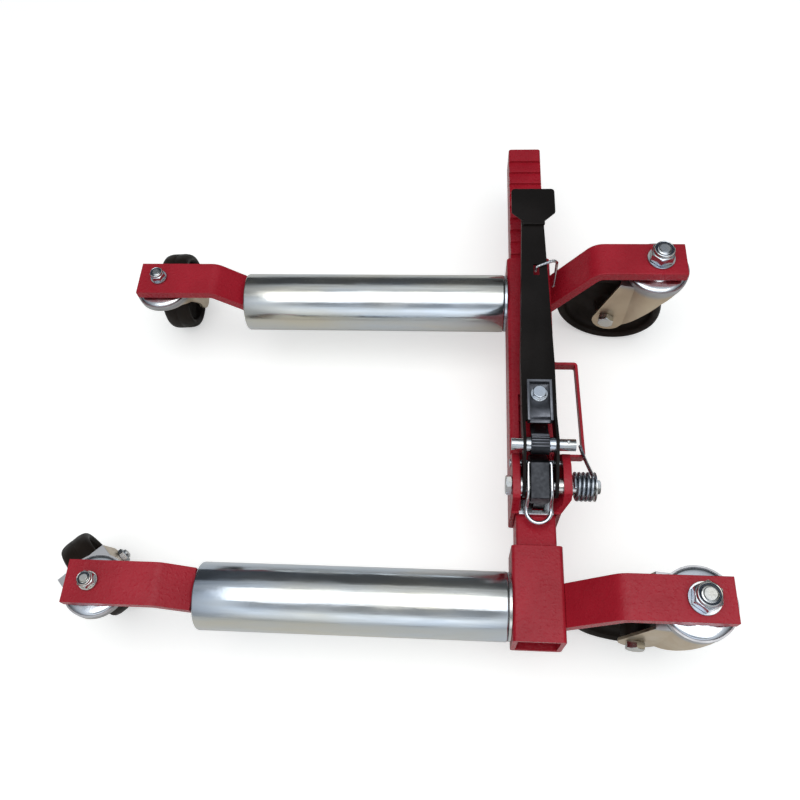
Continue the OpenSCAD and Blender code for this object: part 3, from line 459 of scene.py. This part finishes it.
# The two lifting rollers: drawn steel tube, zinc plated, free to turn on a fixed axle through
# two pressed bushes. Drawing leaves faint lines along the tube, and the passivation tints it
# blue and straw.
def round_rows(pairs):
    """Rows of a shape that is round all the way, from its pairs of (radius, height)"""
    return [(radius, height, None) for radius, height in pairs]


def turn_rows(work, rows, spot, sides, closed):
    """Turns rows of (radius, height, flats) about the height axis; flats cut a row to a hex"""
    rings = []
    for radius, height, flats in rows:
        ring = []
        for k in range(sides):
            angle = 2 * math.pi * k / sides
            reach = radius
            if flats:
                off_flat = (angle + math.pi / 6) % (math.pi / 3) - math.pi / 6
                reach = min(radius, flats / 2 / math.cos(off_flat))
            point = Vector((reach * math.cos(angle), reach * math.sin(angle), height))
            ring.append(work.verts.new(spot @ point))
        rings.append(ring)
    uppers = rings[1:] + rings[:1] if closed else rings[1:]
    for low, high in zip(rings, uppers):
        for k in range(sides):
            after = (k + 1) % sides
            work.faces.new((low[k], low[after], high[after], high[k]))


def turned(name, shapes, finish, body, replaced=(), sides=72, crease=34):
    """One piece from turned shapes, each its rows, the place of its axis and if it is bored"""
    work = bmesh.new()
    for rows, spot, bored in shapes:
        turn_rows(work, rows, spot, sides, bored)
    bmesh.ops.remove_doubles(work, verts=work.verts, dist=1e-7)
    bmesh.ops.recalc_face_normals(work, faces=work.faces)
    shape = bpy.data.meshes.new(name)
    work.to_mesh(shape)
    work.free()
    shape.shade_smooth()
    shape.set_sharp_from_angle(angle=math.radians(crease))
    shape.materials.append(finish)
    piece = bpy.data.objects.new(name, shape)
    scene.collection.objects.link(piece)
    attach(piece, body)
    if replaced:
        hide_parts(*replaced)
    return piece


def axis_at(x, y, z, turn=Matrix.Identity(4)):
    """Place of a turned shape's foot, in millimetres, with its height axis turned as asked"""
    return Matrix.Translation(at(x, y, z)) @ turn @ Matrix.Scale(0.001, 4)


along_x = Matrix.Rotation(math.radians(90), 4, "Y")


def bright_plate(name, cool, warm, smooth, mottle=14, stretch=(1, 1, 1), drawn=None):
    """Plated steel with two tints; drawn is the stretch of the lines that drawing leaves"""
    finish, tree, shader = new_finish(name)
    shader.inputs["Metallic"].default_value = 1.0
    tint = between(tree, grain(tree, mottle, 4, stretch), 0, 1, 0.34, 0.66)
    tree.links.new(two_tone(tree, tint, cool, warm), shader.inputs["Base Color"])
    rough = between(tree, grain(tree, mottle * 5, 3, stretch), smooth, smooth + 0.13)
    tree.links.new(rough, shader.inputs["Roughness"])
    if drawn:
        raised(tree, shader, [(grain(tree, 1, 3, drawn), 0.46, 0.0005),
                              (grain(tree, 3, 2, drawn), 0.20, 0.0003),
                              (grain(tree, 260, 3), 0.10, 0.0003)])
    else:
        raised(tree, shader, [(grain(tree, 420, 2), 0.10, 0.0003)])
    return finish


roller_zinc = bright_plate("drawn_zinc_tube", (0.545, 0.605, 0.68), (0.63, 0.59, 0.49), 0.12, 9,
                           (0.5, 2.4, 2.4), (9, 95, 95))
zinc = bright_plate("bright_zinc_plate", (0.46, 0.50, 0.56), (0.60, 0.58, 0.52), 0.15, 32)
roller_axis_z = 86
roller_tube = round_rows([
    (30.5, 1.2), (31.2, 0.3), (32.0, 0.0), (32.7, 0.25), (33.2, 0.8), (33.5, 1.7), (33.5, 60),
    (33.5, 130), (33.5, 200), (33.5, 250), (33.5, 303.3), (33.2, 304.2), (32.7, 304.75),
    (32.0, 305), (31.2, 304.7), (30.5, 303.8)])
for node, y in (("rear_roller", 356.0), ("front_roller", 0.0)):
    turned(node + "_tube", [(roller_tube, axis_at(0, y, roller_axis_z, along_x), True)],
           roller_zinc, node + "_set", (node,), sides=160)


# What the rollers turn on: fixed steel axles welded to beam and arm, zinc plated, with a plated
# collar beside the beam. Two moulded bushes are pressed into each tube.
def refinish(node, finish):
    for place in frame["nodes"][node].material_slots:
        place.material = finish


def moulded(name, first, second, smooth, pebble=0.16, scale=430, shine=0.5):
    finish, tree, shader = new_finish(name)
    shader.inputs["Specular IOR Level"].default_value = shine
    cloud = between(tree, grain(tree, 22, 3), 0, 1)
    tree.links.new(two_tone(tree, cloud, first, second), shader.inputs["Base Color"])
    rough = between(tree, grain(tree, 95, 3), smooth, smooth + 0.16)
    tree.links.new(rough, shader.inputs["Roughness"])
    raised(tree, shader, [(grain(tree, scale, 3), pebble, 0.0003)])
    return finish


bush = moulded("bush_plastic", (0.060, 0.058, 0.055), (0.085, 0.082, 0.078), 0.45)
for node, soft in (("rear_axle", 0), ("front_axle", 0), ("rear_collar", 0.5),
                   ("front_collar", 0.5)):
    dressed(node, zinc, soft)
for node in ("rear_roller_bushes", "front_roller_bushes"):
    refinish(node, bush)


# The casters' forks: steel sheet pressed to a round crown that goes over into two flat legs,
# clamped on a hub sleeve, with polished balls above the crown. Zinc plated; the cheeks carry a
# tan painted reflection of the floor, which goes over to plain silver on the crown.
def fork_plate_with_painted_reflection(name, crown):
    """Zinc with a tan painted reflection of the floor, going over to plain silver over the last 6
    mm to the crown
    """
    # The two tan tones are a painted reflection of a tan floor in the cheeks, not the zinc's own
    # colour.
    finish = bright_plate(name, (0.51, 0.405, 0.285), (0.61, 0.505, 0.372), 0.29, 17)
    tree = finish.node_tree
    shader = tree.nodes["Principled BSDF"]
    painted_floor_reflection_tone = shader.inputs["Base Color"].links[0].from_socket
    place = tree.nodes.new("ShaderNodeTexCoord")
    apart = tree.nodes.new("ShaderNodeSeparateXYZ")
    tree.links.new(place.outputs["Object"], apart.inputs[0])
    clear = tree.nodes.new("ShaderNodeMix")
    clear.data_type = "RGBA"
    factor, first_colour, second_colour = clear.inputs[0], clear.inputs[6], clear.inputs[7]
    second_colour.default_value = (0.40, 0.395, 0.40, 1)
    # Painted reflection by height: the tan holds on the cheeks and gives way to plain silver over
    # the last 6 mm below the crown.
    tree.links.new(between(tree, apart.outputs["Z"], 0, 1, crown - 0.006, crown), factor)
    tree.links.new(painted_floor_reflection_tone, first_colour)
    tree.links.new(clear.outputs[2], shader.inputs["Base Color"])
    return finish


# Both fork finishes carry the tan painted floor reflection on their cheeks.
small_fork = fork_plate_with_painted_reflection("small_fork_zinc_painted_reflection", 0.1060)
big_fork = fork_plate_with_painted_reflection("big_fork_zinc_painted_reflection", 0.1272)
corners = ("rear_left", "rear_right", "front_left", "front_right")
for corner in corners:
    fork_zinc = small_fork if "left" in corner else big_fork
    dressed(corner + "_fork", fork_zinc, 0.5, 40)
    dressed(corner + "_hub_sleeve", zinc, 0)
ball_steel = bright_plate("polished_ball_steel", (0.62, 0.63, 0.65), (0.68, 0.68, 0.69), 0.08, 60)
for node in ("rear_swivel_balls", "front_swivel_balls"):
    refinish(node, ball_steel)


# The casters' races: rings of zinc-plated sheet, dished on a press to a ball track and a rolled
# outer lip. Each is clamped under its arm by the kingpin.
race_zinc = bright_plate("race_zinc_plate", (0.60, 0.64, 0.70), (0.72, 0.71, 0.69), 0.13, 24)
Caster = namedtuple("Caster", "x y under heading race_r pin_d trail wheel_d arm_t")
stations = {
    "rear_left": Caster(-100, 359.8, 118.3, 93.5, 30, 10, 39, 94, 10),
    "rear_right": Caster(474.8, 372.3, 139.7, 169.4, 33, 16, 42, 123, 12),
    "front_left": Caster(-100, 0.2, 118.3, 134.6, 30, 10, 39, 94, 10),
    "front_right": Caster(474.8, -1.7, 139.7, 174.7, 33, 16, 42, 123, 12)}


def caster_at(corner, along, height, lying=False):
    """Place on a caster: along its heading from the kingpin, and above the floor"""
    station = stations[corner]
    turn = Matrix.Rotation(math.radians(station.heading), 4, "Z")
    lie = Matrix.Rotation(math.radians(90), 4, "X") if lying else Matrix.Identity(4)
    return (Matrix.Translation(at(station.x, station.y, height)) @ turn
            @ Matrix.Translation(Vector((along / 1000, 0, 0))) @ lie @ Matrix.Scale(0.001, 4))


for corner in corners:
    station = stations[corner]
    r = station.race_r
    bore = station.pin_d / 2
    rows = round_rows([
        (bore, 0), (0.50 * r, 0), (0.545 * r, -0.5), (0.575 * r, -1.9), (0.60 * r, -2.7),
        (0.65 * r, -3.1), (0.76 * r, -3.3), (0.86 * r, -3.6), (0.92 * r, -4.0),
        (0.965 * r, -4.6), (0.99 * r, -5.3), (r, -6.0), (0.985 * r, -6.25), (0.95 * r, -6.2),
        (0.87 * r, -5.6), (0.64 * r, -5.1), (0.5 * r, -1.8), (bore, -1.8)])
    turned(corner + "_race_ring", [(rows, caster_at(corner, 0, station.under), True)],
           race_zinc, corner.split("_")[0] + "_frame", (corner + "_race",),
           sides=96, crease=50)


# The wheels: dark brown-black nylon, moulded in one with a thick tread, a deep dish either side
# of a thin web, and a long hub that turns on its sleeve. The mould leaves a fine line round the
# tread and a lip inside each rim.
wheel_black = moulded("wheel_nylon", (0.0112, 0.0074, 0.0052), (0.0185, 0.0130, 0.0096), 0.42,
                      0.16, 300, 0.12)
for corner in corners:
    station = stations[corner]
    r = station.wheel_d / 2
    rim = r - 8
    side = [(7.58, -22.8), (13.2, -22.8), (13.8, -22.5), (14.05, -21.9), (14.3, -12),
            (15.2, -7.4), (17.4, -5.1), (20.5, -4.2), (rim - 13, -4.0), (rim - 7, -4.6),
            (rim - 4, -6.4), (rim - 2.3, -9.2), (rim - 1.7, -12.6), (rim - 1.5, -13.4),
            (rim - 0.9, -13.7), (rim - 0.6, -14.4), (rim - 0.1, -15.0), (rim + 0.8, -15.6),
            (rim + 2.4, -16.0), (r - 4.4, -16.0), (r - 3.2, -15.5), (r - 1.7, -13.9),
            (r - 0.7, -11.4), (r - 0.1, -8.4), (r, -6.5), (r, -0.9), (r - 0.3, -0.45)]
    rows = round_rows(side + [(radius, -height) for radius, height in reversed(side)])
    turned(corner + "_wheel_moulding",
           [(rows, caster_at(corner, station.trail, r, lying=True), True)],
           wheel_black, corner + "_wheel_set", (corner + "_wheel",),
           sides=144, crease=60)


# The wheels' axle bolts: a hex bolt through each fork and hub sleeve, with a nut that clamps the
# legs on the sleeve. Cold-formed steel, zinc plated, with chamfered corners and a rolled thread.
def hex_rows(flats, low, high):
    """Rows of a hex from one height to another, its corners cut by a cone at both ends"""
    corner = flats / 2 / math.cos(math.pi / 6)
    face = 0.47 * flats
    slope = 0.577 if high > low else -0.577
    radii = [face + (corner - face) * k / 4 for k in range(5)]
    first = [(r, low + slope * (r - face), flats) for r in radii]
    last = [(r, high - slope * (r - face), flats) for r in reversed(radii)]
    return first, last


def hex_head(flats, low, high):
    face = 0.46 * flats
    first, last = hex_rows(flats, low, high)
    return (round_rows([(0, low), (face, low)]) + first + last
            + round_rows([(face, high), (0, high)]))


def hex_nut(flats, bore, low, high):
    face, chamfer = 0.46 * flats, 0.4
    first, last = hex_rows(flats, low, high)
    mouth = high - chamfer if high > low else high + chamfer
    return (round_rows([(bore, low), (face, low)]) + first + last
            + round_rows([(face, high), (bore + chamfer, high), (bore, mouth)]))


leg_face, axle_r = 26.5, 5.0
for corner in corners:
    station = stations[corner]
    wheel_r = station.wheel_d / 2
    flats, thick = (17, 8) if "right" in corner else (14, 6)
    seat = caster_at(corner, station.trail, wheel_r, lying=True)
    turned(corner + "_axle_hexes",
           [(hex_head(flats, -leg_face, -leg_face - thick), seat, False),
            (hex_nut(flats, axle_r, leg_face, leg_face + thick), seat, True)],
           zinc, corner + "_caster", (corner + "_axle_bolt",))
    heading = math.radians(station.heading)
    middle = (station.x + station.trail * math.cos(heading),
              station.y + station.trail * math.sin(heading))
    thread = [(middle[0] + math.sin(heading) * d, middle[1] - math.cos(heading) * d, wheel_r)
              for d in (leg_face + thick + 2.9, 20, -leg_face - 0.5)]
    rod(corner + "_axle_thread", [thread], axle_r - 0.08, zinc, corner + "_caster",
        "bright_zinc", depth=0.28, pitch=1.5, ridged=14, step=0.3, taper=1.2, sides=24)


# The kingpins: hex bolts up through fork, race and arm, each with a washer and a lock nut whose
# collar is rolled over a blue nylon ring. Steel, zinc plated, with rolled threads.
ring_blue = moulded("nylon_ring", (0.020, 0.032, 0.055), (0.032, 0.046, 0.075), 0.30, 0.08)
washer_t, head_top = 2.5, -14.5
for end in ("rear", "front"):
    nuts, rings, heads = [], [], []
    end_corners = (end + "_left", end + "_right")
    for corner in end_corners:
        station = stations[corner]
        d = station.pin_d
        bore = d / 2
        seat = caster_at(corner, 0, station.under + station.arm_t)
        nuts.append((round_rows([
            (bore, 0), (0.93 * d, 0), (0.95 * d, 0.3), (0.95 * d, 2.1), (0.93 * d, washer_t),
            (bore, washer_t)]), seat, True))
        collar = washer_t + 0.72 * d
        first, last = hex_rows(1.5 * d, washer_t, collar)
        rolled_edge = round_rows([
            (0.705 * d, collar - 0.1), (0.70 * d, collar + 0.12 * d),
            (0.69 * d, collar + 0.19 * d), (0.665 * d, collar + 0.235 * d),
            (0.63 * d, collar + 0.25 * d), (0.60 * d, collar + 0.235 * d),
            (0.585 * d, collar + 0.19 * d), (0.585 * d, collar), (bore, collar)])
        nut_foot = round_rows([(bore, washer_t), (0.69 * d, washer_t)])
        nuts.append((nut_foot + first + last[:-1] + rolled_edge, seat, True))
        rings.append((round_rows([
            (bore, collar), (0.583 * d, collar), (0.583 * d, collar + 0.15 * d),
            (0.56 * d, collar + 0.185 * d), (0.53 * d, collar + 0.18 * d),
            (bore, collar + 0.13 * d)]), seat, True))
        heads.append((hex_head(1.5 * d, head_top - 0.4 * d, head_top),
                      caster_at(corner, 0, station.under), False))
    body = end + "_frame"
    turned(end + "_lock_nuts", nuts, zinc, body, (end + "_kingpin_nuts",))
    turned(end + "_lock_rings", rings, ring_blue, body)
    turned(end + "_kingpin_heads", heads, zinc, body, (end + "_kingpins",))
    for corner in end_corners:
        station = stations[corner]
        d, x, y, under = station.pin_d, station.x, station.y, station.under
        thread = [(x, y, under + station.arm_t + 3 + d), (x, y, under),
                  (x, y, under + head_top - 0.1)]
        rod(corner + "_kingpin_thread", [thread], d / 2 - 0.05, zinc, body, "bright_zinc",
            depth=0.3, pitch=1.5 if d < 12 else 2.0, ridged=d + 2, step=0.35, taper=1.6,
            sides=28)


# The foot pedal: one sheet of steel pressed to an inverted channel, with a flat pad welded on
# its end. Stove-enamelled black, glossy on the pressed faces.
black = powder_paint("black_enamel", (0.0078, 0.0064, 0.0056), (0.0130, 0.0108, 0.0098), 0.34,
                     0.30, 0.10)
dressed("pedal_arm", black, 0.8)
dressed("foot_pad", black, 1.0)
rod("pad_welds", [[(x, y, 149.6) for y in (424, 445, 463)] for x in (324.0, 348.0)],
    1.0, black, "pedal", "black_paint", **bead)


# The bracket on the pedal: a channel with a crosswise swage, pressed from sheet and dark plated,
# held on the pedal's web by one zinc-plated hex bolt with a washer and a nut under the web.
dark_plate = bright_plate("dark_phosphate", (0.102, 0.106, 0.121), (0.168, 0.173, 0.19), 0.34, 40)
dressed("pawl_bracket", dark_plate, 0.5)
bolt_x, bolt_y = 336, 200
on_bracket, under_web = axis_at(bolt_x, bolt_y, 152.5), axis_at(bolt_x, bolt_y, 140)
turned("bracket_bolt_head", [
    (round_rows([(0, 0), (8.3, 0), (8.5, 0.2), (8.5, 1.4), (8.3, 1.6), (0, 1.6)]),
     on_bracket, False),
    (hex_head(13, 1.6, 6.9), on_bracket, False),
    (hex_head(13, 0, 7), under_web, False)],
    zinc, "pedal", ("bracket_bolt",))
rod("bracket_bolt_thread", [[(bolt_x, bolt_y, z) for z in (136.9, 142, 153)]], 3.92, zinc,
    "pedal", "bright_zinc", depth=0.22, pitch=1.25, ridged=9, step=0.25, taper=0.9, sides=24)


# The cross pin through the pedal's cheeks, on which the drive pawl swings: bright drawn steel,
# zinc plated, with chamfered ends. A split pin through its right end keeps it in.
dressed("cross_pin", zinc, 0.9, 50)


# The drive pawl: a rough dark casting that hangs on the cross pin, with ribs over its boss and
# a shoulder that slopes down behind it towards the bracket.
cast = bright_plate("cast_pawl", (0.024, 0.025, 0.028), (0.048, 0.050, 0.055), 0.38, 60)
dressed("drive_pawl", cast, 0.7)
cross_y, cross_z = 145.2, 150
rib_ring = 10.0
ribs = []
for angle in map(math.radians, (14, 32, 50, 68, 86, 104, 122)):
    y, z = cross_y + rib_ring * math.cos(angle), cross_z + rib_ring * math.sin(angle)
    ribs.append([(326.7, y, z), (335.2, y, z), (343.8, y, z)])
rod("drive_pawl_ribs", ribs, 1.05, dark_plate, "drive_pawl_set", "black_paint", sides=14, step=4,
    taper=0.8)


def prism(name, outline, low, high, finish, body, soft):
    """A solid between two planes across the rollers' direction, from its outline in Y and Z"""
    work = bmesh.new()
    near = [work.verts.new(at(low, y, z)) for y, z in outline]
    far = [work.verts.new(at(high, y, z)) for y, z in outline]
    work.faces.new(near)
    work.faces.new(list(reversed(far)))
    for k in range(len(outline)):
        after = (k + 1) % len(outline)
        work.faces.new((near[k], far[k], far[after], near[after]))
    bmesh.ops.recalc_face_normals(work, faces=work.faces)
    bmesh.ops.bevel(work, geom=list(work.edges), offset=soft / 1000, segments=2, affect="EDGES")
    shape = bpy.data.meshes.new(name)
    work.to_mesh(shape)
    work.free()
    shape.shade_smooth()
    shape.set_sharp_from_angle(angle=math.radians(34))
    shape.materials.append(finish)
    piece = bpy.data.objects.new(name, shape)
    scene.collection.objects.link(piece)
    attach(piece, body)
    return piece


prism("drive_pawl_shoulder", [(148, 157.6), (151.5, 156.9), (171, 143.9), (168.5, 140), (152, 149)],
      326.6, 344.0, cast, "drive_pawl_set", 0.5)


# The holding pawl: a rough dark casting over the pivot bolt, on a zinc-plated pin of its own.
# The guide plate, bright zinc-plated sheet with a notch, steadies its tab over the teeth.
dressed("holding_pawl", cast, 0.9)
dressed("guide_plate", race_zinc, 0.5)
dressed("pawl_pin", zinc, 0.8)


# The pivot: a hex bolt through both lugs and the pedal, its spacers, and the screw and washer
# that hold the return spring on its end. All turned or cold-formed steel, zinc plated.
pivot_y, pivot_z = 109.6, 130.0
on_pivot = axis_at(0, pivot_y, pivot_z, along_x)
turned("pivot_bolt_head", [
    (hex_head(18, 302, 308.5), on_pivot, False),
    (round_rows([(0, 308), (5.98, 308), (5.98, 387.6), (5.5, 388.2), (0, 388.2)]),
     on_pivot, False)],
    zinc, "rear_frame", ("pivot_bolt",))
dressed("pivot_spacers", zinc, 0.3)
turned("spring_end_hex", [
    (round_rows([(0, 388.32), (14.1, 388.32), (14.5, 388.7), (14.5, 389.6), (14.1, 389.92),
                 (0, 389.92)]), on_pivot, False),
    (hex_head(13, 389.92, 394.52), on_pivot, False)],
    zinc, "rear_frame", ("spring_end_screw",))


# The return spring: one length of oil-tempered wire wound in about four turns round the pivot's
# sleeve. A short tail stands out at one end, and the long leg lies on the strap.
spring_steel = bright_plate("spring_wire", (0.30, 0.33, 0.37), (0.42, 0.45, 0.48), 0.20, 70)


def spring_path():
    left, turns, pitch, radius, wire = 369.0, 4.1, 4.2, 12.8, 3.6
    steps = 160
    rest_y, rest_z = 159.0, 110 + wire / 2 + 0.3
    dy, dz = rest_y - pivot_y, rest_z - pivot_z
    leave = math.atan2(dz, dy) + math.acos(radius / math.hypot(dy, dz))

    def on_coil(k):
        angle = leave + 2 * math.pi * turns * (1 - k / steps)
        return (left + turns * pitch * k / steps, pivot_y + radius * math.cos(angle),
                pivot_z + radius * math.sin(angle))

    first, second = Vector(on_coil(0)), Vector(on_coil(1))
    way = Vector((0, first.y - second.y, first.z - second.z)).normalized()
    tail = [tuple(first + way * wire * k) for k in (1.9, 1.0)]
    end = on_coil(steps)[0]
    leg = [(end - 2.6, rest_y - 14, rest_z + 4.8), (end - 5.2, rest_y, rest_z),
           (end - 5.7, rest_y + wire, rest_z)]
    return tail + [on_coil(k) for k in range(steps + 1)] + leg


rod("return_spring", [spring_path()], 1.8, spring_steel, "rear_frame", "spring_steel",
    ("torsion_spring",), step=0.7, taper=0.6)


# The release bail: round bright wire, bent to a long U in front of the lugs. Its feet are hooked
# in the holding pawl's sides, so that lifting the loop frees the bar.
def bail_path():
    pawl_x = 335.25
    leg_half, loop_half = 11.35, 12.2
    foot_y, foot_z = 128.4, 143.2
    half = [(9.3, foot_y, foot_z), (10.9, foot_y, foot_z), (leg_half, 127.6, 143.15),
            (leg_half, pivot_y + 12, 142.5), (leg_half, pivot_y, 141),
            (leg_half, pivot_y - 9, 139), (leg_half, pivot_y - 14, 133),
            (loop_half - 0.3, pivot_y - 17.5, 123.5), (loop_half, pivot_y - 21, 118.5)]
    loop = [(loop_half * math.cos(angle), pivot_y - 21.5 - loop_half * math.sin(angle),
             118 - 2 * math.sin(angle)) for angle in map(math.radians, range(15, 166, 15))]
    other = [(-x, y, z) for x, y, z in reversed(half)]
    return [(pawl_x + x, y, z) for x, y, z in half + loop + other]


rod("release_bail_wire", [bail_path()], 1.9, race_zinc, "holding_pawl_set", "bright_zinc",
    ("release_bail",), step=0.9)


# The latch hook: one length of bright zinc-plated wire through a slot in the pedal, with ridges
# rolled on its straight part. It is bent down where it hangs over the beam's right side.
def hook_path():
    slot_x, slot_y, wire_z = 338.0, 360.5, 151.9
    outer_x, tip_z = 361.9, 108.0
    bend_r = 9
    heading = math.radians(24.4)
    over = (outer_x - slot_x) / math.cos(heading)
    drop = tip_z - wire_z
    inner = Vector((slot_x, slot_y, wire_z))
    ahead = Vector((-math.sin(heading), -math.cos(heading), 0))
    turn = Matrix.Rotation(heading, 3, "Z")
    path = [Vector(spot) for spot in ((0, 0, -8), (0, 0, -3), (0.6, 0, -1), (2.4, 0, 0),
                                      (5, 0, 0.1), (8, 0, 0.2), (13, 0, 0.2))]
    path += [Vector((over - bend_r + bend_r * math.sin(angle), 0,
                     bend_r * math.cos(angle) - bend_r))
             for angle in map(math.radians, range(0, 91, 15))]
    path += [Vector((over + 0.2, 0, drop + 4)) + 5 * ahead,
             Vector((over - 0.4, 0, drop + 1.5)) + 5.6 * ahead,
             Vector((over - 1.4, 0, drop)) + 6 * ahead]
    return [tuple(inner + turn @ spot) for spot in path]


rod("latch_hook_wire", [hook_path()], 1.62, zinc, "hook", "bright_zinc", ("latch_hook",),
    depth=0.2, pitch=1.8, ridged=30, step=0.35, taper=2.5)


bpy.context.view_layer.update()
